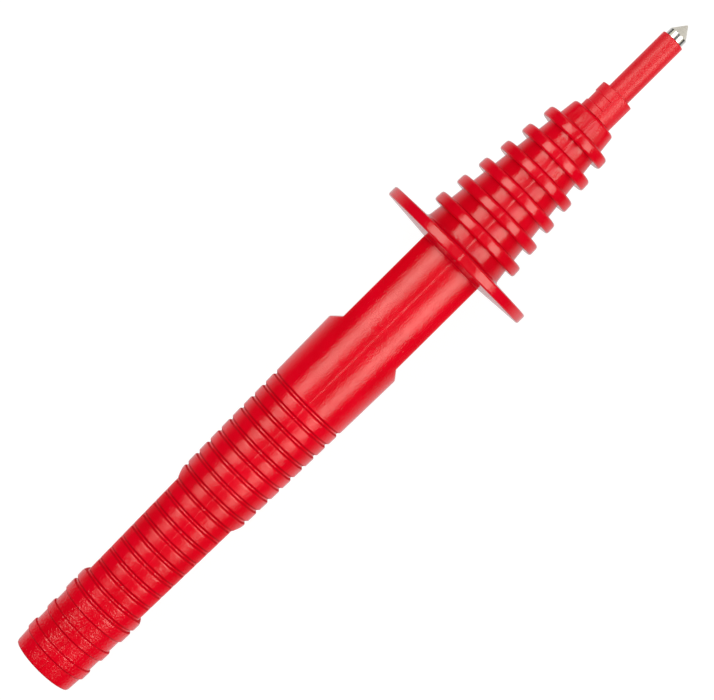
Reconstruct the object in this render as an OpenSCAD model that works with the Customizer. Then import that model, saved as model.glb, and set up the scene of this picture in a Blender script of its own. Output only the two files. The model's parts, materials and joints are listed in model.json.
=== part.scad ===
// Hand-held test probe with a finger guard, a ribbed insulating cone and a pull-off tip sleeve.
// The probe lies along +X with its point forward. The origin is on its axis, at the butt.
// The two flats of the neck and of the waist face +Y and -Y. All sizes are in millimetres.

/* [Handle] */
// Length of the handle, from the butt to the seam behind the finger guard
handle_len = 110.3; // [90:0.1:135]
// Radius that the grip's taper has at the butt
grip_r_butt = 7.29; // [7:0.01:9]
// Growth of the grip's radius for each millimetre of length
grip_slope = 0.0189; // [0.01:0.0001:0.03]
// Radius of the plain band at the butt
butt_r = 6.8; // [6.6:0.01:6.9]
// Length of the plain band at the butt
butt_len = 3.33; // [2:0.01:4]
// Chamfer round the butt
butt_edge = 0.3; // [0.1:0.05:0.5]

/* [Broad ribs] */
// Number of broad ribs between the butt and the grooved grip
broad_count = 2; // [1:1:2]
// Distance from one broad rib to the next
broad_pitch = 5.2; // [4.5:0.01:5.3]
// Width of a broad rib
broad_w = 2.46; // [1.8:0.01:2.8]
// Depth of the valley behind and in front of a broad rib
broad_depth = 0.36; // [0.2:0.01:0.5]
// Width of the slanting side of a broad rib
broad_side = 0.3; // [0.2:0.05:0.5]

/* [Grooves] */
// Distance from the back end of the grooved grip to the middle of the first groove
first_land = 2.96; // [2.4:0.02:3.4]
// Distance from one groove to the next
groove_pitch = 3.059; // [2.6:0.001:4]
// Width of a groove at its mouth
groove_w = 1.06; // [0.6:0.02:1.1]
// Width of a groove at its floor
groove_floor = 0.3; // [0.2:0.02:0.5]
// Depth of a groove
groove_depth = 0.42; // [0.2:0.01:0.5]
// Length of the plain part between the last groove and the shoulder of the neck
plain_len = 14.9; // [10:0.1:20]

/* [Waist and neck] */
// Distance from the middle of the first groove to the back end of the waist flats
waist_gap = 2.06; // [1.5:0.02:4]
// Length of the waist flats
waist_len = 25.55; // [20:0.05:27]
// Depth of the waist flats below the round grip
waist_depth = 0.86; // [0.6:0.01:0.9]
// Length of the ramp at the back end of the waist
waist_back_ramp = 0.9; // [0.3:0.05:1.2]
// Length of the ramp at the front end of the waist
waist_front_ramp = 1.7; // [1:0.1:3]
// Length of the neck flats
neck_len = 21.6; // [18:0.1:26]
// Length of the slanting shoulder behind the neck flats
shoulder_len = 1.85; // [1.5:0.05:2.5]
// Wall between the neck's bore and its +Y flat
neck_wall = 1.54; // [1.2:0.02:1.8]
// How much thicker the wall is at the -Y flat
neck_wall_extra = 0.52; // [0:0.02:0.6]

/* [Guard and cone] */
// Length of the foot between the handle's seam and the finger guard
foot_len = 1.1; // [0.8:0.1:1.5]
// Thickness of the finger guard at its rim
guard_t = 2.1; // [1.8:0.1:3]
// Draft of the guard's back face, in degrees
guard_draft_back = 5; // [1:0.5:5]
// Draft of the guard's front face, in degrees
guard_draft_front = 3; // [1:0.5:5]
// Radius of the finger guard
guard_r = 17.7; // [15:0.1:22]
// Radius of the rounded edge of the finger guard
guard_edge = 0.45; // [0.2:0.05:0.8]
// Radius of the fillet in front of the guard
guard_fillet = 0.5; // [0.3:0.1:1.6]
// Length of the cone, from the front of the guard's rim to the nose
cone_len = 36.37; // [30:0.01:44]
// Radius of the cone at the guard
cone_r_back = 9.28; // [8.8:0.01:10]
// Radius of the cone at the nose
cone_r_nose = 5.06; // [5:0.01:6]
// Rounding of the nose's edge
nose_edge = 0.6; // [0.3:0.05:0.8]
// Distance from the front of the guard's rim to the middle of the first rib
rib_gap_back = 4.79; // [4:0.01:6]
// Least distance from the middle of the last rib to the nose
rib_gap_nose = 5.1; // [4.5:0.05:5.3]
// Distance from one rib to the next
rib_pitch = 5.28; // [4.6:0.01:6]
// Width of a rib at the cone
rib_w = 2.5; // [1.6:0.05:2.6]
// Draft of a rib's front face, in degrees
rib_draft = 4; // [0.5:0.5:6]
// Height of a rib above the cone
rib_h = 1.95; // [1:0.05:2.5]
// Chamfer of a rib's edges
rib_edge = 0.4; // [0.2:0.05:0.6]

/* [Tip] */
// Radius of the contact pin
pin_r = 2; // [1.8:0.05:2.4]
// Length of bare metal in front of the sleeve, point included
bare_len = 4; // [3:0.1:4]
// Length of the conical point
point_len = 2.55; // [1.8:0.05:2.8]
// Radius of the blunted end of the point
point_r = 0.15; // [0.1:0.05:0.4]
// Length of the sleeve's collar
collar_len = 6.2; // [5.8:0.1:8]
// Wall of the collar over the bush
collar_wall = 0.62; // [0.5:0.02:0.8]
// Height of the grip bands on the +Y half of the collar
band_h = 0.1; // [0.05:0.01:0.2]
// Length of the sleeve's thin tube
tube_len = 15.13; // [12:0.01:18]
// Wall of the thin tube
tube_wall = 0.47; // [0.4:0.01:0.7]
// Chamfer at the tube's front end
tube_edge = 0.25; // [0.1:0.05:0.4]
// Radial clearance between the sleeve and the pin
run_clear = 0.03; // [0.02:0.01:0.08]

/* [Bush and retainer] */
// Wall of the bush's front spigot round the pin
spigot_wall = 0.92; // [0.8:0.02:1.1]
// Length of the bush inside the cone's wide bore
bush_len = 20; // [12:0.5:22]
// How much wider the bush is than its front spigot
bush_step = 0.95; // [0.7:0.05:1.1]
// Length of the cone's narrow bore at the nose
nose_wall = 4; // [3:0.1:5]
// Thickness of the flange behind the bush
flange_t = 2; // [1.5:0.1:2.5]
// Height of the pin's flange above its shank
flange_h = 1.3; // [1:0.05:1.5]
// Thickness of the wire of the grip ring
grip_wire = 0.54; // [0.4:0.02:0.6]
// Radial clearance between pieces pressed or pushed together
fit_clear = 0.03; // [0.02:0.01:0.05]

/* [Neck joint] */
// Length of the cone's spigot inside the neck
joint_len = 12.3; // [10:0.1:15]
// Wall of the cone's spigot
joint_wall = 1.42; // [1.2:0.02:1.6]
// Thickness of the wire of the seal on the spigot
seal_wire = 0.6; // [0.4:0.02:0.7]
// Width of the key that lines up the mould marks
key_w = 2; // [1.5:0.1:3]
// Height of the key
key_h = 0.5; // [0.3:0.05:0.6]

/* [Lead socket] */
// Radius of the lead socket's bore
socket_r = 2; // [1.8:0.05:2.4]
// Depth of the lead socket's bore
socket_depth = 20; // [16:0.5:22]
// Wall of the socket barrel
barrel_wall = 0.6; // [0.5:0.05:0.7]
// Wall of the insulating post round the barrel
post_wall = 0.7; // [0.6:0.05:0.8]
// Distance from the butt back to the end of the post
post_recess = 3; // [2:0.1:5]
// Radius of the shroud's bore round the post
shroud_r = 5.1; // [4.9:0.05:5.2]
// Depth of the shroud's bore
shroud_depth = 24; // [20:0.5:26]
// Thickness of the inner web that carries the insulator
web_t = 3; // [2:0.1:4]
// Thickness of the insulator's flange
insulator_flange = 3.4; // [3:0.1:4]

/* [Inner lead] */
// Radius of the copper core
core_r = 0.8; // [0.6:0.05:0.9]
// Wall of the core's insulation
lead_wall = 0.88; // [0.6:0.02:1]
// Wall of the inner insulation tube
liner_wall = 1; // [0.8:0.05:1.1]
// Length of the elastic ring in front of the inner insulation tube
take_up_len = 1.2; // [0.8:0.1:2]
// Number of rings that centre the lead
spacer_count = 3; // [2:1:4]
// Thickness of a centring ring
spacer_t = 3; // [2:0.5:4]

/* [Hidden] */
$fn = 96;

// Places along the axis
grip_x = butt_len + broad_count * broad_pitch;
groove_x = grip_x + first_land;
waist_x = groove_x + waist_gap;
shoulder_x = handle_len - neck_len - shoulder_len;
groove_count = floor((shoulder_x - plain_len - groove_x) / groove_pitch) + 1;
guard_x = handle_len + foot_len;
cone_x = guard_x + guard_t;
nose_x = cone_x + cone_len;
rib_count = floor((cone_len - rib_gap_back - rib_gap_nose) / rib_pitch) + 1;
rib_lean = rib_h * tan(rib_draft);
collar_gap = 0.1;
collar_x = nose_x + collar_gap;
tube_x = collar_x + collar_len;
sleeve_end_x = tube_x + tube_len;
point_x = sleeve_end_x + bare_len;

// The guard's front face, and the fillet that touches it and the cone
cone_lean = atan((cone_r_back - cone_r_nose) / cone_len);
front_r = guard_r - guard_edge * (1 - sin(guard_draft_front));
front_x = guard_x + guard_t - guard_edge * (1 - cos(guard_draft_front));
fillet_x = (guard_front_x(cone_r(cone_x) + guard_fillet / cos(cone_lean))
    + guard_fillet / cos(guard_draft_front) - cone_x * tan(cone_lean) * tan(guard_draft_front))
    / (1 - tan(cone_lean) * tan(guard_draft_front));
fillet_r = cone_r(fillet_x) + guard_fillet / cos(cone_lean);

// The contact pin, its bush and what holds them
spigot_r = pin_r + fit_clear + spigot_wall;
collar_bore_r = spigot_r + 0.1;
collar_r = collar_bore_r + collar_wall;
tube_r = pin_r + run_clear + tube_wall;
spigot_end_gap = 0.7;
spigot_end_x = tube_x - spigot_end_gap;
step_x = nose_x - nose_wall;
bush_r = spigot_r + bush_step;
bush_x = step_x - bush_len;
cone_bore_r = bush_r + fit_clear;
flange_r = pin_r + flange_h;
flange_x = bush_x - flange_t;
tail_r = core_r + 0.7;
tail_len = 8;
cup_depth = 5;
cup_r = core_r + 0.15;
tail_x = flange_x - tail_len;
retainer_bore_r = flange_r - 0.95;
ring_t = 0.8;
ring_x = cone_x - 1.1;
ring_depth = 0.35;
grip_ring_x = collar_x + 0.45 * collar_len;
grip_wire_r = grip_wire / 2;

// The joint between neck and cone
joint_r = cone_bore_r + joint_wall;
handle_bore_r = joint_r + 0.05;
joint_x = handle_len - joint_len;
neck_flat_r = handle_bore_r + neck_wall;
seal_wire_r = seal_wire / 2;
seal_x = joint_x + 0.4 * joint_len;
key_len = 0.3 * joint_len;

// The lead socket
barrel_r = socket_r + barrel_wall;
post_bore_r = barrel_r + fit_clear;
post_r = post_bore_r + post_wall;
barrel_x = post_recess + 0.5;
seal_t = 0.6;
insulator_x = shroud_depth + web_t + seal_t;
insulator_end_x = insulator_x + insulator_flange;
insulator_r = handle_bore_r - 0.05;
shank_r = 1.95;
shank_step_x = insulator_x + 0.4;
washer_t = 0.5;
washer_r = 3.9;
nut_t = 2.4;
nut_flats = 7;
nut_x = insulator_end_x + washer_t;
shank_end_x = nut_x + nut_t + 1;

// The inner lead
lead_r = core_r + lead_wall;
liner_r = handle_bore_r - 0.1;
liner_bore_r = liner_r - liner_wall;
liner_end_x = joint_x - take_up_len;
back_cup_x = shank_end_x + tail_len - cup_depth;
sleeve_wall = 0.35;
sleeve_lap = 3;

// Radius of the round grip at a distance x from the butt
function grip_r(x) = grip_r_butt + grip_slope * x;

// Radius of the cone at a distance x from the butt
function cone_r(x) = cone_r_back + (cone_r_nose - cone_r_back) * (x - cone_x) / cone_len;

// Place of the guard's front face at a distance r from the axis
function guard_front_x(r) = front_x + (front_r - r) * tan(guard_draft_front);

// Outline of one groove, as points of axial place and radius
function groove_points(x) = [
    [x - groove_w / 2, grip_r(x - groove_w / 2)],
    [x - groove_floor / 2, grip_r(x) - groove_depth],
    [x + groove_floor / 2, grip_r(x) - groove_depth],
    [x + groove_w / 2, grip_r(x + groove_w / 2)]
];

// Outline of one broad rib, with the foot of each side in the valley
function broad_points(x) = [
    [x, grip_r(x) - broad_depth],
    [x + broad_side, grip_r(x)],
    [x + broad_w - broad_side, grip_r(x + broad_w)],
    [x + broad_w, grip_r(x + broad_w) - broad_depth]
];

// Outline of one rib of the cone, with chamfered edges and a top that follows the cone
function rib_points(x) = [
    [x - rib_w / 2, cone_r(x - rib_w / 2)],
    [x - rib_w / 2, cone_r(x) + rib_h - rib_edge],
    [x - rib_w / 2 + rib_edge, cone_r(x - rib_w / 2 + rib_edge) + rib_h],
    [x + rib_w / 2 - rib_lean - rib_edge, cone_r(x + rib_w / 2 - rib_edge) + rib_h],
    [x + rib_w / 2 - rib_lean, cone_r(x) + rib_h - rib_edge],
    [x + rib_w / 2, cone_r(x + rib_w / 2)]
];

// A solid of revolution about the X axis, from an outline of axial place and radius
module turned(points) {
    rotate([0, 90, 0]) rotate_extrude() polygon([for (p = points) [p[1], p[0]]]);
}

// A round bar on the X axis
module bar(r, x0, x1) {
    translate([x0, 0, 0]) rotate([0, 90, 0]) cylinder(r = r, h = x1 - x0);
}

// A plain ring on the X axis
module ring(r_out, r_in, x0, x1) {
    difference() {
        bar(r_out, x0, x1);
        bar(r_in, x0 - 1, x1 + 1);
    }
}

// A ring of round wire on the X axis
module wire_ring(r, wire_r, x) {
    translate([x, 0, 0]) rotate([0, 90, 0]) rotate_extrude() translate([r, 0]) circle(r = wire_r);
}

// A prism across the whole probe, from an outline in the XY plane
module across(points) {
    depth = 4 * guard_r;
    translate([0, 0, -depth / 2]) linear_extrude(height = depth) polygon(points);
}

// What the waist flat on the +Y side takes away
module waist_cut() {
    x1 = waist_x + waist_len;
    across([
        [waist_x, grip_r(waist_x) + 1],
        [waist_x, grip_r(waist_x)],
        [waist_x + waist_back_ramp, grip_r(waist_x) - waist_depth],
        [x1, grip_r(x1) - waist_depth],
        [x1 + waist_front_ramp, grip_r(x1 + waist_front_ramp)],
        [x1 + waist_front_ramp, grip_r(x1) + 1]
    ]);
}

// What a neck flat at the distance y from the axis takes away
module neck_cut(y) {
    across([
        [shoulder_x, grip_r(shoulder_x) + 1],
        [shoulder_x, grip_r(shoulder_x)],
        [shoulder_x + shoulder_len, y],
        [handle_len + 1, y],
        [handle_len + 1, grip_r(handle_len) + 1]
    ]);
}

module handle_outline() {
    turned(concat(
        [[0, 0], [0, butt_r - butt_edge], [butt_edge, butt_r]],
        [for (i = [0 : broad_count - 1]) each broad_points(butt_len + i * broad_pitch)],
        [[grip_x, grip_r(grip_x) - broad_depth], [grip_x + broad_side, grip_r(grip_x + broad_side)]],
        [for (i = [0 : groove_count - 1]) each groove_points(groove_x + i * groove_pitch)],
        [[handle_len, grip_r(handle_len)], [handle_len, 0]]
    ));
}

module handle_shell() {
    mouth = 0.3;
    color("crimson") union() {
        difference() {
            handle_outline();
            waist_cut();
            mirror([0, 1, 0]) waist_cut();
            neck_cut(neck_flat_r);
            mirror([0, 1, 0]) neck_cut(neck_flat_r + neck_wall_extra);
            turned([[-1, 0], [-1, shroud_r + mouth + 1], [mouth, shroud_r], [shroud_depth, shroud_r],
                [shroud_depth, 0]]);
            bar(post_r + fit_clear, shroud_depth - 1, shroud_depth + web_t + 1);
            bar(handle_bore_r, shroud_depth + web_t, handle_len + 1);
        }
        neck_key();
    }
}

// The key stands inside the neck's bore, on the underside
module neck_key() {
    key_x = handle_len - key_len;
    intersection() {
        ring(handle_bore_r + 0.2, handle_bore_r - key_h, key_x, handle_len);
        translate([key_x, -key_w / 2, -2 * handle_bore_r]) cube([key_len, key_w, 2 * handle_bore_r]);
    }
}

// The foot carries the outline of the neck, with its two flats, up to the guard
module guard_foot() {
    overlap = 0.2;
    intersection() {
        bar(grip_r(handle_len), handle_len, guard_x + overlap);
        translate([handle_len, -neck_flat_r - neck_wall_extra, -guard_r])
            cube([foot_len + overlap, 2 * neck_flat_r + neck_wall_extra, 2 * guard_r]);
    }
}

// The guard, thinner towards its rounded rim
module guard_disc() {
    back_r = guard_r - guard_edge * (1 - sin(guard_draft_back));
    back_x = guard_x + guard_edge * (1 - cos(guard_draft_back));
    rotate([0, 90, 0]) rotate_extrude() union() {
        polygon([
            [0, back_x - back_r * tan(guard_draft_back)], [back_r, back_x],
            [guard_r, guard_x + guard_edge], [guard_r, guard_x + guard_t - guard_edge],
            [front_r, front_x], [0, guard_front_x(0)]
        ]);
        translate([guard_r - guard_edge, guard_x + guard_edge]) circle(r = guard_edge);
        translate([guard_r - guard_edge, guard_x + guard_t - guard_edge]) circle(r = guard_edge);
    }
}

// The ribbed cone, with a fillet at the guard and a rounded nose
module ribbed_cone() {
    overlap = 0.2;
    turned(concat(
        [[cone_x - overlap, 0], [cone_x - overlap, cone_r(cone_x)]],
        [for (i = [0 : rib_count - 1]) each rib_points(cone_x + rib_gap_back + i * rib_pitch)],
        [[nose_x - nose_edge, cone_r(nose_x - nose_edge)], [nose_x - 0.3 * nose_edge,
            cone_r(nose_x) - 0.2 * nose_edge], [nose_x, cone_r(nose_x) - nose_edge], [nose_x, 0]]
    ));
    rotate([0, 90, 0]) rotate_extrude() difference() {
        polygon([
            [fillet_r, fillet_x],
            [fillet_r - guard_fillet * sin(guard_draft_front),
                fillet_x - guard_fillet * cos(guard_draft_front)],
            [fillet_r - 1.2 * guard_fillet, fillet_x - 1.2 * guard_fillet],
            [fillet_r - guard_fillet * cos(cone_lean), fillet_x - guard_fillet * sin(cone_lean)]
        ]);
        translate([fillet_r, fillet_x]) circle(r = guard_fillet);
    }
}

module guard_cone() {
    groove_gap = 0.1;
    slot_w = key_w + 0.1;
    color("red") difference() {
        union() {
            guard_foot();
            guard_disc();
            ribbed_cone();
            bar(joint_r, joint_x, guard_x + 0.2);
        }
        bar(cone_bore_r, joint_x - 1, step_x);
        bar(spigot_r + fit_clear, step_x - 1, nose_x + 1);
        bar(cone_bore_r + ring_depth, ring_x, ring_x + ring_t);
        ring(joint_r + 1, joint_r - seal_wire, seal_x - seal_wire_r - groove_gap,
            seal_x + seal_wire_r + groove_gap);
        translate([handle_len - key_len - 0.1, -slot_w / 2, -2 * joint_r])
            cube([key_len + 0.1, slot_w, 2 * joint_r - (joint_r - key_h - 0.05)]);
    }
}

// The collar's shell on the +Y side only, between two places and two radii
module half_band(r_out, r_in, x0, x1) {
    intersection() {
        ring(r_out, r_in, x0, x1);
        translate([x0 - 1, 0, -2 * r_out]) cube([x1 - x0 + 2, 2 * r_out, 4 * r_out]);
    }
}

// Grip bands at both ends of the collar and a shallow recess between them, on the +Y half
module tip_sleeve() {
    recess_x0 = collar_x + 1.65;
    recess_x1 = collar_x + 3.95;
    recess_depth = 0.12;
    band_r = collar_r + band_h;
    color("crimson") difference() {
        union() {
            bar(collar_r, collar_x, tube_x);
            half_band(band_r, pin_r, collar_x, recess_x0);
            half_band(band_r, pin_r, recess_x1, tube_x);
            turned([[tube_x - 1, 0], [tube_x - 1, tube_r], [sleeve_end_x - tube_edge, tube_r],
                [sleeve_end_x, tube_r - tube_edge], [sleeve_end_x, 0]]);
        }
        half_band(band_r + 1, collar_r - recess_depth, recess_x0, recess_x1);
        bar(collar_bore_r, collar_x - 1, spigot_end_x + 0.1);
        bar(pin_r + run_clear, collar_x - 1, sleeve_end_x + 1);
    }
}

// One turned pin: solder cup, tail, flange, shank and conical point
module contact_pin() {
    color("silver") difference() {
        turned([
            [tail_x, 0], [tail_x, tail_r], [flange_x, tail_r], [flange_x, flange_r],
            [bush_x, flange_r], [bush_x, pin_r], [point_x - point_len, pin_r],
            [point_x, point_r], [point_x, 0]
        ]);
        bar(cup_r, tail_x - 1, tail_x + cup_depth);
    }
}

module pin_bush() {
    groove_gap = 0.05;
    color("ivory") difference() {
        union() {
            bar(bush_r, bush_x, step_x);
            bar(spigot_r, step_x - 1, spigot_end_x);
        }
        bar(pin_r + fit_clear, bush_x - 1, spigot_end_x + 1);
        ring(spigot_r + 1, spigot_r - 0.5, grip_ring_x - grip_wire_r - groove_gap,
            grip_ring_x + grip_wire_r + groove_gap);
    }
}

module grip_ring() {
    color("dimgray") wire_ring(spigot_r - 0.5 + grip_wire_r + 0.01, grip_wire_r, grip_ring_x);
}

module pin_retainer() {
    color("ivory") ring(bush_r, retainer_bore_r, ring_x + ring_t, flange_x);
}

// An open ring, with its gap at the top
module retaining_ring() {
    gap = 2;
    r_out = cone_bore_r + ring_depth - 0.03;
    color("gray") difference() {
        ring(r_out, r_out - 1.1, ring_x + 0.02, ring_x + ring_t - 0.02);
        translate([ring_x - 1, -gap / 2, 0]) cube([ring_t + 2, gap, 2 * r_out]);
    }
}

module spigot_seal() {
    color("dimgray") wire_ring(joint_r - seal_wire_r + 0.02, seal_wire_r - 0.01, seal_x);
}

module take_up_ring() {
    color("dimgray") ring(liner_r, liner_bore_r, liner_end_x, joint_x);
}

module liner_tube() {
    color("white") ring(liner_r, liner_bore_r, insulator_end_x, liner_end_x);
}

module lead_core() {
    color("peru") bar(core_r, back_cup_x, tail_x + cup_depth);
}

module lead_insulation() {
    color("firebrick") ring(lead_r, core_r + 0.02, back_cup_x + cup_depth + 0.2, tail_x - 0.2);
}

// One shrunk sleeve over each solder joint
module solder_sleeves() {
    sleeve_r = lead_r + 0.02 + sleeve_wall;
    back_end_x = back_cup_x + cup_depth;
    color("black") union() {
        ring(sleeve_r, lead_r + 0.02, back_end_x - sleeve_lap, back_end_x + sleeve_lap);
        ring(sleeve_r, lead_r + 0.02, tail_x - sleeve_lap, tail_x + sleeve_lap);
    }
}

// Rings spread evenly over the free length of the lead
module lead_spacers() {
    free_x0 = back_cup_x + cup_depth + sleeve_lap;
    free_x1 = joint_x;
    step = (free_x1 - free_x0) / (spacer_count + 1);
    color("white") union() {
        for (i = [1 : spacer_count]) {
            x = free_x0 + i * step - spacer_t / 2;
            ring(liner_bore_r - 0.05, lead_r + 0.05, x, x + spacer_t);
        }
    }
}

// A long post inside the shroud, with a flange that seats on the handle's inner web
module socket_insulator() {
    color("crimson") difference() {
        union() {
            bar(post_r, post_recess, insulator_end_x - 1);
            bar(insulator_r, insulator_x, insulator_end_x);
        }
        bar(post_bore_r, post_recess - 1, shank_step_x);
        bar(shank_r + fit_clear, shank_step_x - 1, insulator_end_x + 1);
    }
}

// The socket's bore opens backward, and the solder cup forward
module socket_barrel() {
    mouth = 0.3;
    color("silver") difference() {
        union() {
            bar(barrel_r, barrel_x, shank_step_x);
            bar(shank_r, shank_step_x - 1, shank_end_x);
            bar(tail_r, shank_end_x - 1, back_cup_x + cup_depth);
        }
        turned([[barrel_x - 1, 0], [barrel_x - 1, socket_r + mouth + 1],
            [barrel_x + mouth, socket_r], [barrel_x + socket_depth, socket_r],
            [barrel_x + socket_depth, 0]]);
        bar(cup_r, back_cup_x, back_cup_x + cup_depth + 1);
    }
}

module socket_seal() {
    color("dimgray") ring(insulator_r, post_r + 0.05, shroud_depth + web_t, insulator_x);
}

module socket_washer() {
    color("gray") ring(washer_r, shank_r + 0.05, insulator_end_x, nut_x);
}

// A hexagon nut on the barrel's threaded shank
module socket_nut() {
    nut_r = nut_flats / 2 / cos(30);
    color("goldenrod") difference() {
        translate([nut_x, 0, 0]) rotate([0, 90, 0]) cylinder(r = nut_r, h = nut_t, $fn = 6);
        bar(shank_r + 0.02, nut_x - 1, nut_x + nut_t + 1);
    }
}

handle_shell();
guard_cone();
tip_sleeve();
contact_pin();
pin_bush();
grip_ring();
pin_retainer();
retaining_ring();
spigot_seal();
take_up_ring();
liner_tube();
lead_core();
lead_insulation();
solder_sleeves();
lead_spacers();
socket_insulator();
socket_barrel();
socket_seal();
socket_washer();
socket_nut();
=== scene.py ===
# %% [markdown]
# A hand-held test probe
# The probe is a slim red handle with a grooved grip, a finger guard, a ribbed cone and a bare metal point.
# Every length in the cells below is in millimetres, as on a maker's drawing. MM turns it into metres,
# which is what Blender measures in. The probe lies along the X axis with its point forward.

# %% Load the measured model
import json
import math

import bmesh
import bpy
import numpy as np
from mathutils import Matrix, Vector


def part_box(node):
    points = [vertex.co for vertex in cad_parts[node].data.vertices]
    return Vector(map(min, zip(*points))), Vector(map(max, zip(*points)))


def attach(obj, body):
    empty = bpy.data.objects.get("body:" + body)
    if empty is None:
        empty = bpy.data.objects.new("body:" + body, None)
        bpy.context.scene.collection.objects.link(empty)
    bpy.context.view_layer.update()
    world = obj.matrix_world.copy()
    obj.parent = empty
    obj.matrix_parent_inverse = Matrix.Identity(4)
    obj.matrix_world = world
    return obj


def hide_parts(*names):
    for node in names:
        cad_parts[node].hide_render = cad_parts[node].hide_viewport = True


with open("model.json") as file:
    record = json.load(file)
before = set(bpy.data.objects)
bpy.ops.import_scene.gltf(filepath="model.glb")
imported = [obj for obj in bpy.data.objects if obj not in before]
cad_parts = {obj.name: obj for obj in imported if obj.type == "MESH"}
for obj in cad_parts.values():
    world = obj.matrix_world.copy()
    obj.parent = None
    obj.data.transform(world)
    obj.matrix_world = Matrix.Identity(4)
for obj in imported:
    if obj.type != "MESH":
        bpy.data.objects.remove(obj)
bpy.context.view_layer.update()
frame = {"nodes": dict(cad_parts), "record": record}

MM = 0.001

# %% [markdown]
# Where things are
# The places of the seams and ends aren't typed in again. They are read from the boxes of the measured
# pieces, so a finished piece always sits exactly where its plain one was.

# %% Read places from the frame


def span(node):
    """Back end, front end and largest radius of a measured piece, in millimetres."""
    low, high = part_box(node)
    return low.x / MM, high.x / MM, high.z / MM


butt_x, seam_x, _ = span("handle_shell")
spigot_x, nose_x, guard_r = span("guard_cone")
collar_x, sleeve_end_x, _ = span("tip_sleeve")
pin_x, point_x, flange_r = span("contact_pin")
bush_x, _, _ = span("pin_bush")
print("seam at", round(seam_x, 2), "nose at", round(nose_x, 2), "point at", round(point_x, 2))

# %% [markdown]
# The camera
# The photographer looked straight down on the probe, which lies across the picture at almost 45 degrees.
# A camera that is turned about its own line of sight gives the same picture as a turned probe, and the
# probe can stay on its axis. The distance sets how strongly the near rims bulge: a long lens far away
# flattens them. The probe isn't in the middle of the picture. A shift of the lens moves the picture
# without turning the camera, just as sliding the film would.

# %% Camera at the photograph's angle
IMAGE_W = 714
PIXEL = 0.193
VIEW_ROLL = math.radians(44.74)
VIEW_DISTANCE = 490
SENSOR = 36
eye_x = 104.2
frame_centre = Vector((85.9, 0.484))

camera_data = bpy.data.cameras.new("camera")
camera_data.sensor_width = SENSOR
camera_data.lens = SENSOR * VIEW_DISTANCE / (IMAGE_W * PIXEL)
camera_data.clip_start = 0.01
offset = (frame_centre.x - eye_x) / (IMAGE_W * PIXEL)
camera_data.shift_x = offset * math.cos(VIEW_ROLL)
camera_data.shift_y = offset * math.sin(VIEW_ROLL)
camera = bpy.data.objects.new("camera", camera_data)
bpy.context.scene.collection.objects.link(camera)
eye = Matrix.Translation(Vector((eye_x, frame_centre.y, VIEW_DISTANCE)) * MM)
camera.matrix_world = eye @ Matrix.Rotation(-VIEW_ROLL, 4, "Z")
bpy.context.scene.camera = camera
print("lens", round(camera_data.lens, 1), "mm at", VIEW_DISTANCE, "mm")

# %% [markdown]
# Shader sums as Python
# A finish is a small sum of textures. Written node by node it is hard to read, so a Wire wraps one
# output socket and adds a Math node for each sign in an expression. Nodes makes every other node.

# %% Wires and nodes


class Wire:
    """One output socket, so that sums of values are written as Python."""

    def __init__(self, nodes, socket):
        self.nodes = nodes
        self.socket = socket

    def sum(self, operation, first, second):
        return self.nodes.add("ShaderNodeMath", {"operation": operation}, {0: first, 1: second})

    def __add__(self, other):
        return self.sum("ADD", self, other)

    __radd__ = __add__

    def __mul__(self, other):
        return self.sum("MULTIPLY", self, other)

    __rmul__ = __mul__

    def __sub__(self, other):
        return self.sum("SUBTRACT", self, other)

    def __rsub__(self, other):
        return self.sum("SUBTRACT", other, self)


class Nodes:
    """The node tree of a material or of the world."""

    def __init__(self, owner):
        owner.use_nodes = True
        self.tree = owner.node_tree
        self.tree.nodes.clear()

    def add(self, kind, settings=None, inputs=None, output=0):
        """Makes a node: its settings are set first, then its sockets get values or wires."""
        node = self.tree.nodes.new(kind)
        for name, value in (settings or {}).items():
            setattr(node, name, value)
        for name, value in (inputs or {}).items():
            if isinstance(value, Wire):
                self.tree.links.new(value.socket, node.inputs[name])
            else:
                node.inputs[name].default_value = value
        return Wire(self, node.outputs[output]) if node.outputs else node

    def ramp(self, value, low, high):
        """A soft step: value from low to high becomes 0 to 1."""
        return self.add(
            "ShaderNodeMapRange",
            {"interpolation_type": "SMOOTHSTEP"},
            {"Value": value, "From Min": low, "From Max": high},
        )

    def mix(self, factor, first, second):
        """A blend of two colours, each a wire or three numbers."""
        first, second = ((*colour, 1) if isinstance(colour, tuple) else colour for colour in (first, second))
        return self.add("ShaderNodeMix", {"data_type": "RGBA"}, {0: factor, 6: first, 7: second}, output=2)

    def split(self, vector):
        """The three parts of a vector."""
        x = self.add("ShaderNodeSeparateXYZ", inputs={0: vector})
        return [Wire(self, socket) for socket in x.socket.node.outputs]


# %% [markdown]
# Light
# Two long soft boxes stand on either side of the camera, along the probe. Each draws one broad pale band
# down every round surface, and the gap between them leaves a darker band in the middle. The boxes are
# real area lights, so they also light the probe and the table. They aren't quite parallel to the probe:
# each is turned a little, so that its band drifts as it does in the photograph.

# %% Soft boxes
BOX_DISTANCE = 550
BOX_BRIGHTNESS = 5.1
BOX_LENGTH = 331
BOX_X = 134.5
WARM_WHITE = (1.0, 0.97, 0.84)


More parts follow.
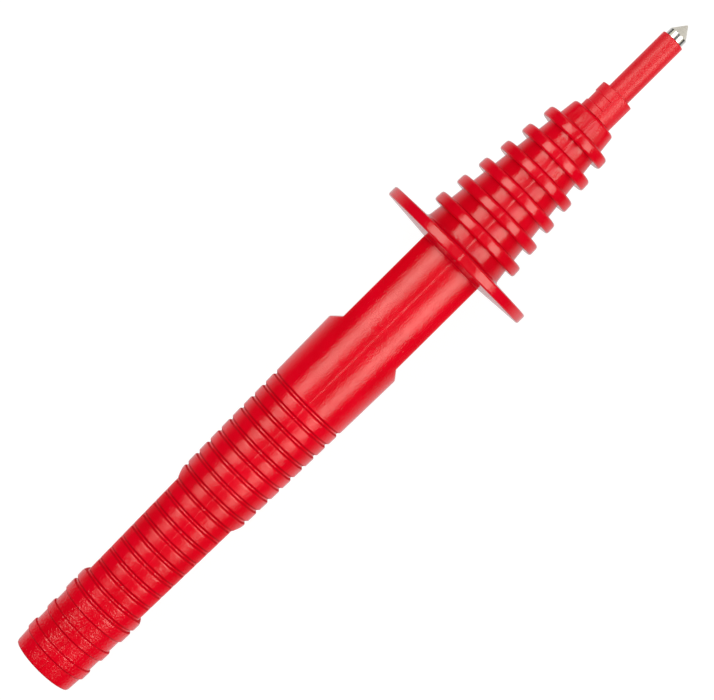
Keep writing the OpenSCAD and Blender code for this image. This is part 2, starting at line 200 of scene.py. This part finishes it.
def soft_box(
    name, inner, outer, brightness, x=BOX_X, length=BOX_LENGTH, distance=BOX_DISTANCE, turn=0, tilt=0
):
    """An area light beside the camera. Its edges stand at two angles from straight up, towards +Y."""
    angle = math.radians((inner + outer) / 2)
    width = 2 * distance * math.tan(math.radians(abs(outer - inner) / 2))
    light = bpy.data.lights.new(name, "AREA")
    light.shape = "RECTANGLE"
    light.size = length * MM
    light.size_y = width * MM
    light.energy = brightness * math.pi * light.size * light.size_y
    light.color = WARM_WHITE
    lamp = bpy.data.objects.new(name, light)
    out = Vector((0, math.sin(angle), math.cos(angle)))
    lean = Matrix.Rotation(-angle, 4, "X") @ Matrix.Rotation(math.radians(turn), 4, "Z")
    lean = lean @ Matrix.Rotation(-math.radians(tilt), 4, "Y")
    lamp.matrix_world = Matrix.Translation((Vector((x, 0, 0)) + out * distance) * MM) @ lean
    lamp.visible_camera = False
    bpy.context.scene.collection.objects.link(lamp)
    print(name, "is", round(width), "mm wide and gives", round(light.energy, 2), "W")


soft_box("soft_box_left", 19, 48.3, BOX_BRIGHTNESS, turn=-12)
soft_box("soft_box_right", -33.8, -61.8, 0.97 * BOX_BRIGHTNESS, turn=10)

# %% [markdown]
# Two white cards by the tip
# Along most of the grip only the boxes show. The bare pin and the sleeve behind it mirror more
# white than that, out to the sides: small cards that were stood on both sides of the tip, just outside
# the picture. They brighten the sleeve a little as well. Each is turned away from the handle, so that
# those walls of the grip's grooves that face the tip don't see it and stay dark.

# %% Cards
CARD_DISTANCE = 90
CARD_TILT = 35
soft_box("card_left", 22, 82, 0.78, x=198, length=66, distance=CARD_DISTANCE, tilt=CARD_TILT)
soft_box("card_right", -22, -82, 0.57, x=193, length=76, distance=CARD_DISTANCE, tilt=CARD_TILT)

# %% [markdown]
# The room
# Round the boxes the room is almost black. Below it is pale, as the white sheet is. The sheet itself is
# hidden from reflections, because the world can fade that paleness towards the horizon. A few pale panels
# hang above the probe, beside the cone and beside the butt. The world gives them as a function of
# direction: the angle round the probe and the slope along it. Each panel fills a range of both. Only
# reflections see them, and soft light from everywhere fills the shadows. A Background node is pale grey
# by default, so what the camera sees past the table is made a quarter brighter, which is white.

# %% Room
ROOM_DIM = 0.005
ROOM_BELOW = 0.85
ROOM_ENDS = 0.03
FILL = 0.45
FILL_SIDE = 0.18
FILL_TOP = 0.15
BELOW_FROM = -0.12
BELOW_FULL = -0.65
ENDS_FROM = 0.35
ENDS_FULL = 0.8
BACKDROP = 1.25
PANEL_EDGE = 4
PANEL_END = 0.015
# Each panel: two angles round the probe, two slopes along it, and its brightness
PANELS = {
    "above": (-30, 14, -0.078, -0.045, 2.4),
    "above the tip": (-14, 14, 0.095, 0.155, 0.6),
    "left by the cone": (14, 19, 0.22, 0.5, 3.6),
    "right by the cone": (-38, -21, 0.19, 0.5, 2.9),
    "above the nose": (-14, 14, 0.275, 0.5, 0.7),
    "left of the butt": (20, 46, -0.4, -0.2, 1.0),
    "right of the butt": (-62, -36, -0.4, -0.2, 1.0),
}
world = bpy.data.worlds.new("room")
bpy.context.scene.world = world
room = Nodes(world)
towards_tip, towards_left, upward = room.split(room.add("ShaderNodeTexCoord", output="Generated"))
angle_round = room.add("ShaderNodeMath", {"operation": "ARCTAN2"}, {0: towards_left, 1: upward})
angle_round = angle_round * math.degrees(1)


def panel(inner, outer, back, front, brightness):
    """A pale panel between two angles round the probe and two slopes along it."""
    round_it = room.ramp(angle_round, inner - PANEL_EDGE, inner + PANEL_EDGE)
    round_it = round_it * room.ramp(angle_round, outer + PANEL_EDGE, outer - PANEL_EDGE)
    along_it = room.ramp(towards_tip, back - PANEL_END, back + PANEL_END)
    along_it = along_it * room.ramp(towards_tip, front + PANEL_END, front - PANEL_END)
    return round_it * along_it * brightness


below = room.ramp(upward, BELOW_FROM, BELOW_FULL)
ends = room.ramp(towards_tip * towards_tip, ENDS_FROM, ENDS_FULL)
mirrored = ROOM_DIM + below * ROOM_BELOW + ends * (1 - below) * ROOM_ENDS
for measures in PANELS.values():
    mirrored = mirrored + panel(*measures)
fill = FILL - towards_left * FILL_SIDE + upward * FILL_TOP
to_camera = room.add("ShaderNodeLightPath", output="Is Camera Ray")
in_mirror = room.add("ShaderNodeLightPath", output="Is Glossy Ray")
light_there = in_mirror * mirrored + (1 - in_mirror) * fill
strength = to_camera * BACKDROP + (1 - to_camera) * light_there
background = room.add("ShaderNodeBackground", inputs={"Strength": strength})
room.add("ShaderNodeOutputWorld", inputs={"Surface": background})
world.cycles.sampling_method = "NONE"
bpy.context.scene.view_settings.view_transform = "Standard"
print("the room has", len(PANELS), "panels")

# %% [markdown]
# The table
# The probe lies on its finger guard and on its rear broad rib, so the table leans by the slope between
# the two. It glows from below, as a photographer's light table does, which keeps the ground white and
# the shadow faint. Past both ends of the probe the sheet levels out.

# %% Light table
REST_X = 5.5
rest_r = 7.36
guard_mid_x = 112.4
TABLE_GAP = 0.05
table_slope = (rest_r - guard_r) / (guard_mid_x - REST_X)
SHEET = 1400
LEVEL_FROM = -25
LEVEL_TO = 195


def table_height(x):
    """Height of the sheet at x: a slope under the probe that levels out at both ends."""
    return -rest_r + table_slope * (np.clip(x, LEVEL_FROM, LEVEL_TO) - REST_X) - TABLE_GAP


sheet = bmesh.new()
for x in (-SHEET, LEVEL_FROM, LEVEL_TO, SHEET):
    for y in (-SHEET, SHEET):
        sheet.verts.new((x * MM, y * MM, table_height(x) * MM))
sheet.verts.ensure_lookup_table()
for i in range(3):
    sheet.faces.new([sheet.verts[2 * i + k] for k in (0, 2, 3, 1)])
table_mesh = bpy.data.meshes.new("table")
sheet.to_mesh(table_mesh)
sheet.free()
table = bpy.data.objects.new("table", table_mesh)
bpy.context.scene.collection.objects.link(table)
table.visible_glossy = False
print("the table leans", round(math.degrees(math.atan(-table_slope)), 2), "degrees")

table_look = bpy.data.materials.new("table")
table_nodes = Nodes(table_look)
table_shader = table_nodes.add(
    "ShaderNodeBsdfPrincipled",
    inputs={
        "Base Color": (0.12, 0.12, 0.12, 1),
        "Roughness": 1.0,
        "Emission Color": (1, 1, 1, 1),
        "Emission Strength": 0.93,
    },
)
table_nodes.add("ShaderNodeOutputMaterial", inputs={"Surface": table_shader})
table_mesh.materials.append(table_look)

# %% [markdown]
# Turned shapes
# Nearly every piece here is round about the same axis, so each one is an outline of places along the
# axis and radii, spun round it. Blender's Spin or Screw would do that too. Making the rings ourselves
# lets a function change the radius with the angle, which gives flats and mould lines in the same mesh.
# Each corner of an outline has a third number: how far from the corner its rounding begins.

# %% Outlines


def rounded(corners, steps):
    """Replaces each corner (x, radius, reach) of a closed outline by a short curve."""
    outline = []
    for i, (x, r, reach) in enumerate(corners):
        here = Vector((x, r))
        back = Vector(corners[i - 1][:2]) - here
        ahead = Vector(corners[(i + 1) % len(corners)][:2]) - here
        if reach == 0:
            outline.append((x, r))
            continue
        reach = min(reach, 0.45 * back.length, 0.45 * ahead.length)
        start = here + back.normalized() * reach
        end = here + ahead.normalized() * reach
        for k in range(steps + 1):
            t = k / steps
            outline.append(tuple(start.lerp(here, t).lerp(here.lerp(end, t), t)))
    return outline


def refined(outline, longest, spans=(), above=0, fine=0.12):
    """Adds points to long stretches of an outline, and many inside spans and above a radius."""
    points = []
    for (x0, r0), (x1, r1) in zip(outline, outline[1:] + outline[:1]):
        points.append((x0, r0))
        count = max(1, round(abs(x1 - x0) / fine))
        last = x0
        for k in range(1, count):
            x = x0 + (x1 - x0) * k / count
            wanted = min(r0, r1) > above and any(a < x < b for a, b in spans)
            if wanted or abs(x - last) > longest:
                points.append((x, r0 + (r1 - r0) * k / count))
                last = x
    return points


# %% [markdown]
# The mould line
# Both red mouldings and the sleeve come out of a mould with two halves. Where the halves meet, a thin
# raised line is left along the whole piece. It lies just past the top of the probe and opposite, and it
# needs very narrow columns of faces, while the plain stretches between need few.

# %% Columns round the axis
PARTING = math.radians(93)
LINE_WIDTH = 0.13
# Degrees past the mould line: the step on it, where it ends and where the opposite one begins
LINE_STEP = 0.2
LINE_END = 1.19
NEXT_LINE = 178.7
# The steps between the lines, on plain stretches and inside edge spans
WIDE_STEP = 3.0
NARROW_STEP = 0.75


def columns(edges=()):
    """Angles round the axis in radians, close together at the mould line and inside the edge spans."""
    angles = []
    angle = 0.0
    while angle < 180:
        angles.append(angle)
        if angle < LINE_END or angle > NEXT_LINE:
            angle += LINE_STEP
        elif any(a < angle < b for a, b in edges):
            angle += NARROW_STEP
        else:
            angle += min(WIDE_STEP, NEXT_LINE + 0.1 - angle)
    half = np.radians(angles)
    return np.concatenate([half, half + math.pi]) + PARTING


def parting(r, angle, height):
    """How far the mould line stands out at a radius and an angle."""
    return height * np.exp(-((r * np.sin(angle - PARTING) / LINE_WIDTH) ** 2))


print(len(columns()), "columns on a plain round piece")

# %% [markdown]
# From outline to mesh
# The outline is closed: it runs forward along the outside and back along the bore, so the mesh is a
# closed shell with a real wall, as a moulding is. Weighted normals keep broad faces flat right up to the
# small curves at their edges.

# %% Spin an outline


def turned(name, outline, angles, surface=None):
    """Spins a closed outline about the X axis. surface(x, r, angle) gives the final radius."""
    x, r = (np.array(column)[:, None] + 0 * angles[None, :] for column in zip(*outline))
    angle = angles[None, :] + 0 * x
    if surface:
        r = surface(x, r, angle)
    places = np.stack([x, r * np.cos(angle), r * np.sin(angle)], axis=-1).reshape(-1, 3) * MM
    rings, around = x.shape
    i, j = np.meshgrid(np.arange(rings), np.arange(around), indexing="ij")
    i_next = (i + 1) % rings
    j_next = (j + 1) % around
    corners = (i * around + j, i * around + j_next, i_next * around + j_next, i_next * around + j)
    faces = np.stack(corners, axis=-1).reshape(-1, 4)
    mesh = bpy.data.meshes.new(name)
    mesh.from_pydata(places.tolist(), [], faces.tolist())
    shape = bmesh.new()
    shape.from_mesh(mesh)
    bmesh.ops.remove_doubles(shape, verts=shape.verts, dist=1e-7)
    for face in shape.faces:
        face.smooth = True
    shape.to_mesh(mesh)
    shape.free()
    piece = bpy.data.objects.new(name, mesh)
    bpy.context.scene.collection.objects.link(piece)
    even = piece.modifiers.new("even shading", "WEIGHTED_NORMAL")
    even.mode = "FACE_AREA_WITH_ANGLE"
    print(name, "has", len(mesh.polygons), "faces")
    return piece


def smooth_min(a, b, blend):
    """The smaller of two radii, with the crease between them rounded."""
    h = np.clip(0.5 + 0.5 * (b - a) / blend, 0, 1)
    return b * (1 - h) + a * h - blend * h * (1 - h)


# %% [markdown]
# The handle
# The grip is a slow taper. From the back it has a plain band, two broad ribs with valleys between them,
# and then nineteen narrow grooves. The outline is written rib by rib with loops, from the same few sizes
# as on the drawing. The edges are rounder than the feet, because an inner corner of the mould is cut by
# an outer corner of a tool, and outer corners wear. The front edge of each rib and land is rounder than
# its back edge, which gives it a broader highlight.

# %% Outline of the handle
grip_r_butt = 7.29
grip_slope = 0.0189
butt_r = 6.8
broad_pitch = 5.2
broad_w = 2.46
broad_side = 0.3
broad_depth = 0.36
broad_count = 2
butt_len = 3.33
groove_x = 16.69
groove_pitch = 3.059
groove_count = 19
groove_w = 1.06
groove_floor = 0.3
groove_depth = 0.42
handle_bore_r = 5.4
shroud_r = 5.1
shroud_depth = 24
web_front_x = 27
web_bore_r = 3.36
BUTT_EDGE = 0.4
BUTT_CHAMFER = 0.3
BACK_EDGE = 0.07
FRONT_EDGE = 0.16
FOOT = 0.05
SEAM_EDGE = 0.08
BORE_EDGE = 0.1
BORE_FOOT = 0.2


def grip_r(x):
    """Radius of the plain taper at x."""
    return grip_r_butt + grip_slope * x


handle_corners = [(butt_x, shroud_r + BUTT_CHAMFER, BORE_EDGE), (butt_x, butt_r, BUTT_EDGE)]
for i in range(broad_count + 1):
    x = butt_len + i * broad_pitch
    back_top = (x + broad_side, grip_r(x + broad_side), BACK_EDGE)
    handle_corners += [(x, grip_r(x) - broad_depth, FOOT), back_top]
    if i < broad_count:
        x += broad_w
        front_top = (x - broad_side, grip_r(x - broad_side), FRONT_EDGE)
        handle_corners += [front_top, (x, grip_r(x) - broad_depth, FOOT)]
for i in range(groove_count):
    x = groove_x + i * groove_pitch
    handle_corners += [
        (x - groove_w / 2, grip_r(x), FRONT_EDGE),
        (x - groove_floor / 2, grip_r(x) - groove_depth, FOOT),
        (x + groove_floor / 2, grip_r(x) - groove_depth, FOOT),
        (x + groove_w / 2, grip_r(x), BACK_EDGE),
    ]
handle_corners += [
    (seam_x, grip_r(seam_x), SEAM_EDGE),
    (seam_x, handle_bore_r, BORE_EDGE),
    (web_front_x, handle_bore_r, BORE_FOOT),
    (web_front_x, web_bore_r, BORE_EDGE),
    (shroud_depth, web_bore_r, BORE_EDGE),
    (shroud_depth, shroud_r, BORE_FOOT),
    (butt_x + BUTT_CHAMFER, shroud_r, BORE_EDGE),
]
print(len(handle_corners), "corners in the handle's outline")

# %% [markdown]
# The flats
# Two pairs of flats are cut into the handle: shallow ones at the waist, and deeper ones along the neck.
# A flat stands at a fixed height from the axis, so in the direction of an angle its radius is that height
# over the cosine. The smaller of that and the round radius is the surface. The ramps at the ends of the
# flats come out of the same height, which rises there as a straight line.

# %% Flats of the waist and the neck
waist_x = 18.75
waist_end_x = 44.3
waist_depth = 0.86
waist_back_ramp = 0.9
waist_front_ramp = 1.7
shoulder_x = 86.85
shoulder_len = 1.85
neck_flat = {1: 6.94, -1: 7.46}
EDGE_BLEND = 0.25
FAR = 12
HANDLE_LINE = 0.036
LINE_IN_GROOVE = 0.1
SKIN = 0.5


def flat_height(x, side):
    """Height of the flats at x on one side of the probe: far outside where there is none."""
    waist_places = [
        waist_x - 2 * waist_back_ramp, waist_x + waist_back_ramp,
        waist_end_x, waist_end_x + 3 * waist_front_ramp,
    ]
    waist_heights = [
        grip_r(waist_x) + 2 * waist_depth, grip_r(waist_x) - waist_depth,
        grip_r(waist_end_x) - waist_depth, grip_r(waist_end_x) + 2 * waist_depth,
    ]
    waist = np.interp(x, waist_places, waist_heights, left=FAR, right=FAR)
    level = neck_flat[side]
    rise = (grip_r(shoulder_x) - level) / shoulder_len
    neck = np.maximum(level, grip_r(shoulder_x) - rise * (x - shoulder_x))
    return np.minimum(waist, neck)


def with_flats(x, r, angle):
    """The round radius r with the flats taken away."""
    across = np.cos(angle)
    height = np.where(across > 0, flat_height(x, 1), flat_height(x, -1))
    return smooth_min(r, height / np.maximum(abs(across), 0.05), EDGE_BLEND)


def handle_surface(x, r, angle):
    """The handle's outside with flats and mould line. Its bore stays as it is."""
    outside = r > handle_bore_r + SKIN
    in_groove = np.clip((grip_r(x) - r) / groove_depth, 0, 1)
    line = parting(r, angle, HANDLE_LINE + LINE_IN_GROOVE * in_groove)
    return np.where(outside, with_flats(x, r, angle) + line, r)


flat_edges = [(43, 64), (110, 131)]
ramps = [(18.5, 19.9), (44.0, 46.3), (86.5, 89.0)]
handle_outline = refined(rounded(handle_corners, 2), 1.4, ramps, handle_bore_r + SKIN)
handle = turned("handle", handle_outline, columns(edges=flat_edges), handle_surface)
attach(handle, "probe")
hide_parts("handle_shell")

# %% [markdown]
# The guard and the ribbed cone
# One moulding carries the finger guard and the cone. Its foot has the same flats as the neck behind it.
# The guard is a disc with a rounded rim, and six ribs stand on the cone, so that a finger can't slip
# towards the point and a spark has a long way to creep.

# %% Outline of the guard and the cone
foot_len = 1.1
guard_t = 2.1
back_draft = math.tan(math.radians(5))
front_draft = math.tan(math.radians(3))
cone_r_back = 9.28
cone_r_nose = 5.06
rib_gap_back = 4.79
rib_pitch = 5.28
rib_count = 6
rib_w = 2.5
rib_h = 1.95
rib_lean = rib_h * math.tan(math.radians(4))
spigot_r = 5.35
cone_bore_r = 3.93
nose_bore_r = 2.98
guard_x = seam_x + foot_len
cone_x = guard_x + guard_t
nose_wall = 4
step_x = nose_x - nose_wall
GUARD_LINE = 0.07
RIB_LINE = 0.55
GUARD_FOOT = 0.45
RIM_EDGE = 0.4
FILLET = 0.6
RIB_FOOT = 0.2
RIB_EDGE = 0.6
RIB_RISE = 0.03
RIB_DROP = 0.08
NOSE_EDGE = 0.6


def cone_r(x):
    """Radius of the plain cone at x."""
    return cone_r_back + (cone_r_nose - cone_r_back) * (x - cone_x) / (nose_x - cone_x)


foot_r = grip_r(seam_x)
rim_r = guard_r - GUARD_LINE
cone_corners = [
    (spigot_x, spigot_r, BORE_FOOT),
    (seam_x, spigot_r, FOOT),
    (seam_x, foot_r, SEAM_EDGE),
    (guard_x - back_draft * (rim_r - foot_r), foot_r, GUARD_FOOT),
    (guard_x, rim_r, RIM_EDGE),
    (cone_x, rim_r, RIM_EDGE),
    (cone_x + front_draft * (rim_r - cone_r_back), cone_r_back, FILLET),
]
for i in range(rib_count):
    x = cone_x + rib_gap_back + i * rib_pitch
    top = cone_r(x) + rib_h
    cone_corners += [
        (x - rib_w / 2, cone_r(x - rib_w / 2), RIB_FOOT),
        (x - rib_w / 2, top + RIB_RISE, RIB_EDGE),
        (x + rib_w / 2 - rib_lean, top - RIB_DROP, RIB_EDGE),
        (x + rib_w / 2, cone_r(x + rib_w / 2), RIB_FOOT),
    ]
cone_corners += [
    (nose_x, cone_r_nose, NOSE_EDGE),
    (nose_x, nose_bore_r, BORE_EDGE),
    (step_x, nose_bore_r, FOOT),
    (step_x, cone_bore_r, FOOT),
    (spigot_x, cone_bore_r, BORE_EDGE),
]


def cone_surface(x, r, angle):
    """The flats on the foot, and the mould line on the whole outside."""
    foot = (x < guard_x) & (r > spigot_r + SKIN) & (r < foot_r + 1)
    flatter = with_flats(x, foot_r + 0 * r, angle) - foot_r
    r = np.where(foot, r + flatter * np.clip(foot_r + 1 - r, 0, 1), r)
    past_bores = (r > nose_bore_r + SKIN) & ((r > cone_bore_r + SKIN) | (x > step_x + BORE_EDGE))
    outside = (x > seam_x + FOOT) & past_bores
    on_rib = np.clip((r - cone_r(x)) / rib_h, 0, 1) * (x > cone_x + 1)
    line = parting(r, angle, GUARD_LINE * (1 - (1 - RIB_LINE) * on_rib))
    return np.where(outside, r + line, r)


cone_outline = refined(rounded(cone_corners, 4), 1.5)
guard_cone = turned("guard_and_cone", cone_outline, columns(edges=flat_edges), cone_surface)
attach(guard_cone, "probe")
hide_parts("guard_cone")

# %% [markdown]
# The tip sleeve
# A collar with a thin tube in front slides over the pin and leaves only the point bare. On the half that
# faces +Y, the collar has a raised band at each end and a shallow recess between them, to give the
# fingers a hold when the sleeve is pulled off.

# %% Outline of the sleeve
collar_r = 3.67
collar_len = 6.2
collar_bore_r = 3.05
collar_wall = 0.6
tube_r = 2.5
tube_bore_r = 2.03
tube_x = collar_x + collar_len
band_h = 0.1
recess = 0.12
recess_x = (collar_x + 1.65, collar_x + 3.95)
RECESS_SIDE = 0.12
SLEEVE_LINE = 0.03
COLLAR_SKIN = 0.3
TUBE_SKIN = 0.2
sleeve_corners = [
    (collar_x, collar_r, 0.15),
    (tube_x, collar_r, 0.15),
    (tube_x, tube_r, 0.1),
    (sleeve_end_x, tube_r, 0.3),
    (sleeve_end_x, tube_bore_r, 0.08),
    (tube_x - collar_wall, tube_bore_r, 0.05),
    (tube_x - collar_wall, collar_bore_r, 0.05),
    (collar_x, collar_bore_r, 0.1),
]


def sleeve_surface(x, r, angle):
    """Bands and recess on the +Y half of the collar, and the mould line."""
    on_collar = np.clip((r - collar_bore_r - COLLAR_SKIN) / 0.2, 0, 1) * (x < tube_x + 0.01)
    facing = np.clip(r * np.cos(angle - PARTING + math.pi / 2) / 0.1 + 0.5, 0, 1)
    into = np.clip((x - recess_x[0]) / RECESS_SIDE + 0.5, 0, 1)
    into = into * np.clip((recess_x[1] - x) / RECESS_SIDE + 0.5, 0, 1)
    relief = band_h * (1 - into) - recess * into
    outside = (r > tube_bore_r + TUBE_SKIN) & ((r > collar_bore_r + TUBE_SKIN) | (x > tube_x + 0.01))
    return r + on_collar * facing * relief + outside * parting(r, angle, SLEEVE_LINE)


recess_sides = [(x - 0.2, x + 0.2) for x in recess_x]
sleeve_outline = refined(rounded(sleeve_corners, 4), 1.2, recess_sides, collar_bore_r + COLLAR_SKIN, 0.04)
sleeve = turned("tip_sleeve_moulding", sleeve_outline, columns(), sleeve_surface)
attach(sleeve, "sleeve")
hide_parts("tip_sleeve")

# %% [markdown]
# The contact pin
# The pin is turned from brass bar in one go: a cup for the lead, a thin tail, a flange and the shank,
# and the point at the end. Its outline begins and ends on the axis, where the rings shrink to a point.

# %% Outline of the pin
pin_r = 2.0
point_len = 2.55
blunt_r = 0.15
tail_r = 1.5
tail_len = 8
cup_r = 0.95
cup_depth = 5
pin_corners = [
    (pin_x + cup_depth, 0, 0),
    (pin_x + cup_depth, cup_r, 0.1),
    (pin_x, cup_r, 0.1),
    (pin_x, tail_r, 0.15),
    (pin_x + tail_len, tail_r, 0.1),
    (pin_x + tail_len, flange_r, 0.15),
    (bush_x, flange_r, 0.15),
    (bush_x, pin_r, 0.05),
    (point_x - point_len, pin_r, 0.06),
    (point_x - 0.02, blunt_r, 0.08),
    (point_x, 0, 0),
]
plain_columns = np.radians(np.arange(0, 360, 2.5))
pin = turned("turned_pin", refined(rounded(pin_corners, 4), 1.5), plain_columns)
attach(pin, "probe")
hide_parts("contact_pin")

# %% [markdown]
# What the finishes share
# Every finish starts from a place on the piece in millimetres, so that the size of a grain can be read off
# its noise. A bump takes its depth in millimetres too. No surface is equally glossy everywhere, so each
# gloss below varies a little with a noise.

# %% Helpers for finishes
GLOSS_SPREAD = 0.06


def finish(name):
    """An empty material, with coordinates in millimetres on the piece."""
    material = bpy.data.materials.new(name)
    nodes = Nodes(material)
    metres = nodes.add("ShaderNodeTexCoord", output="Object")
    place = nodes.add("ShaderNodeVectorMath", {"operation": "SCALE"}, {0: metres, "Scale": 1 / MM})
    return material, nodes, place


def noise(nodes, place, scale, detail=2.0):
    """Soft noise with so many features to a millimetre."""
    return nodes.add("ShaderNodeTexNoise", inputs={"Vector": place, "Scale": scale, "Detail": detail})


def bump(nodes, height, depth):
    """A bump whose height of 1 stands for a depth in millimetres."""
    return nodes.add("ShaderNodeBump", inputs={"Height": height, "Distance": depth * MM, "Strength": 1.0})


def shine(nodes, **sockets):
    """The main shader. An underscore in a socket's name stands for a space."""
    inputs = {name.replace("_", " "): value for name, value in sockets.items()}
    return nodes.add("ShaderNodeBsdfPrincipled", inputs=inputs)


def close(nodes, surface):
    """The material's output, which takes the finished surface."""
    nodes.add("ShaderNodeOutputMaterial", inputs={"Surface": surface})


# %% [markdown]
# Red plastic
# The mouldings are one satin red plastic. It has a fine sparked grain from the mould's steel and faint
# clouds of colour where the melt flowed. The grain is a bump of two sizes of noise, too fine to be worth
# modelling. Towards the butt it turns coarse like leather, which is a third noise with a weight along the
# axis. The cone and the sleeve get darker copies of the plastic, which is painted shade. The walls of
# the grip's grooves get a second shader, dull and darker. Its darker colour is painted shade for the
# grooves, and a mask says where: on faces that are steep.

# %% Finish of the red plastic
CLOUD_GRAIN = 0.12
COARSE_GRAIN = 1.2
COARSE_SHARE = 0.2
FINE_GRAIN = 4.6
LEATHER_GRAIN = 2.1
LEATHER_DEPTH = 2.0
LEATHER_FULL = 12
LEATHER_END = 26
STEEP_FROM = 0.5
STEEP_FULL = 0.62
# The darker colour of the groove walls and how much of it is used: painted shade
GROOVE_SHADE = (0.02, 0.0, 0.0)
GROOVE_SHADE_SHARE = 0.3
DULL_SHADED_BEFORE = 75


def steep(nodes, place, before):
    """1 on walls that face along the axis, behind a place on it, and 0 elsewhere."""
    facing_x, _, _ = nodes.split(nodes.add("ShaderNodeTexCoord", output="Normal"))
    steepness = nodes.add("ShaderNodeMath", {"operation": "ABSOLUTE"}, {0: facing_x})
    x, _, _ = nodes.split(place)
    return nodes.ramp(steepness, STEEP_FROM, STEEP_FULL) * nodes.ramp(x, before + 1, before)


def red_plastic(name, grain_depth, gloss, painted_shade=1.0, dull_shaded_before=None):
    """Satin red moulded plastic; groove walls behind a place on the axis are dull, with painted shade."""
    material, nodes, place = finish(name)
    coarse = noise(nodes, place, COARSE_GRAIN, 0.0)
    fine = noise(nodes, place, FINE_GRAIN, 0.0)
    clouds = nodes.ramp(noise(nodes, place, CLOUD_GRAIN, 2.0), 0.35, 0.65)
    # A factor below 1 darkens the whole colour, which is painted shade
    colour = nodes.mix(clouds, (0.70 * painted_shade, 0.0, 0.010), (0.76 * painted_shade, 0.0, 0.013))
    height = coarse * COARSE_SHARE + fine * (1 - COARSE_SHARE)
    if dull_shaded_before:
        along, _, _ = nodes.split(place)
        leather = noise(nodes, place, LEATHER_GRAIN, 1.0) * nodes.ramp(along, LEATHER_END, LEATHER_FULL)
        height = height + leather * LEATHER_DEPTH
    grain = bump(nodes, height, grain_depth)
    roughness = gloss + GLOSS_SPREAD * fine
    surface = shine(nodes, Base_Color=colour, Roughness=roughness, IOR=1.47, Normal=grain)
    if dull_shaded_before:
        # The groove walls' darker colour is painted shade, standing in for the shade in the grooves
        shaded_colour = nodes.mix(GROOVE_SHADE_SHARE, colour, GROOVE_SHADE)
        dull_shaded = shine(nodes, Base_Color=shaded_colour, Roughness=0.6, IOR=1.1, Normal=grain)
        walls = steep(nodes, place, dull_shaded_before)
        surface = nodes.add("ShaderNodeMixShader", inputs={0: walls, 1: surface, 2: dull_shaded})
    close(nodes, surface)
    return material


handle.data.materials.append(red_plastic("red_plastic_handle", 0.052, 0.08, dull_shaded_before=DULL_SHADED_BEFORE))
# The cone and the sleeve are darker copies of the plastic: painted shade
guard_cone.data.materials.append(red_plastic("red_plastic_cone", 0.024, 0.08, 0.91))
sleeve.data.materials.append(red_plastic("red_plastic_sleeve", 0.06, 0.30, 0.94))
print("the handle's finish has", len(handle.data.materials[0].node_tree.nodes), "nodes")

# %% [markdown]
# Bright metal
# The shank is plated and polished, so it mirrors the soft boxes as white stripes. The cone of the point
# was cut last and is matt, which makes it a pale even grey. One material gives both: a soft step along
# the axis turns it rougher and less metallic. Turning marks are a fine wave along the axis.

# %% Finish of the pin
PLATE = (0.86, 0.85, 0.82)
PLATE_ROUGHNESS = 0.16
CUT_POINT = (0.79, 0.76, 0.71)
CUT_ROUGHNESS = 0.5
CUT_METAL = 0.4
CUT_BLEND = 0.02
MARK_DEPTH = 0.002


def bright_metal(name, matt_from=None):
    """Nickel plate, which is matt in front of a place on the axis."""
    material, nodes, place = finish(name)
    along, _, _ = nodes.split(place)
    marks = nodes.add(
        "ShaderNodeTexWave",
        {"bands_direction": "X"},
        {"Vector": place, "Scale": 3.0, "Distortion": 0.6, "Detail": 2.0},
    )
    matt = nodes.ramp(along, matt_from - CUT_BLEND, matt_from + CUT_BLEND) if matt_from else 0.0
    smudge = noise(nodes, place, 0.8)
    metal = shine(
        nodes,
        Base_Color=nodes.mix(matt, PLATE, CUT_POINT),
        Metallic=1.0 - (1.0 - CUT_METAL) * matt,
        Roughness=PLATE_ROUGHNESS + GLOSS_SPREAD * smudge + (CUT_ROUGHNESS - PLATE_ROUGHNESS) * matt,
        Normal=bump(nodes, marks, MARK_DEPTH),
    )
    close(nodes, metal)
    return material


pin.data.materials.append(bright_metal("plated_pin", point_x - point_len))
print("the pin is matt in front of", round(point_x - point_len, 2), "mm")

# %% [markdown]
# Inside pieces
# The pieces inside are the measured ones. They keep their shape, and each gets the finish of its own
# material: undyed plastic, rubber, spring steel, copper, soft silicone, a shrunk sleeve and brass.

# %% Finishes of the inside pieces


def plain_finish(name, light, dark, roughness, grain, depth, metallic=0.0):
    """A finish with two close shades in clouds, a grain and an even gloss."""
    material, nodes, place = finish(name)
    clouds = nodes.ramp(noise(nodes, place, 0.5, 3.0), 0.3, 0.7)
    fine = noise(nodes, place, grain, 2.0)
    surface = shine(
        nodes,
        Base_Color=nodes.mix(clouds, dark, light),
        Metallic=metallic,
        Roughness=roughness + 0.1 * fine,
        Normal=bump(nodes, fine, depth),
    )
    close(nodes, surface)
    return material


finishes = {
    "natural_plastic": plain_finish("undyed_plastic", (0.84, 0.8, 0.7), (0.78, 0.73, 0.62), 0.4, 3, 0.01),
    "black_rubber": plain_finish("black_rubber", (0.03, 0.03, 0.03), (0.02, 0.02, 0.02), 0.6, 5, 0.02),
    "spring_steel": plain_finish("spring_steel", (0.5, 0.5, 0.5), (0.4, 0.4, 0.41), 0.3, 8, 0.005, 1.0),
    "copper": plain_finish("copper", (0.85, 0.5, 0.32), (0.7, 0.38, 0.22), 0.3, 6, 0.01, 1.0),
    "red_silicone": plain_finish("red_silicone", (0.6, 0.02, 0.02), (0.5, 0.01, 0.01), 0.5, 4, 0.01),
    "shrink_sleeve": plain_finish("shrunk_sleeve", (0.03, 0.03, 0.03), (0.015, 0.015, 0.015), 0.35, 2, 0.03),
    "brass": plain_finish("turned_brass", (0.8, 0.6, 0.3), (0.7, 0.5, 0.22), 0.25, 8, 0.004, 1.0),
    "nickel_plate": bright_metal("plated_socket"),
    "red_plastic": red_plastic("red_plastic_socket", 0.012, 0.32),
}
for part in frame["record"]["subparts"]:
    node = frame["nodes"][part["node"]]
    node.data.materials.clear()
    node.data.materials.append(finishes[part["material_slot"]])
print(len(frame["nodes"]), "measured pieces have their finish")
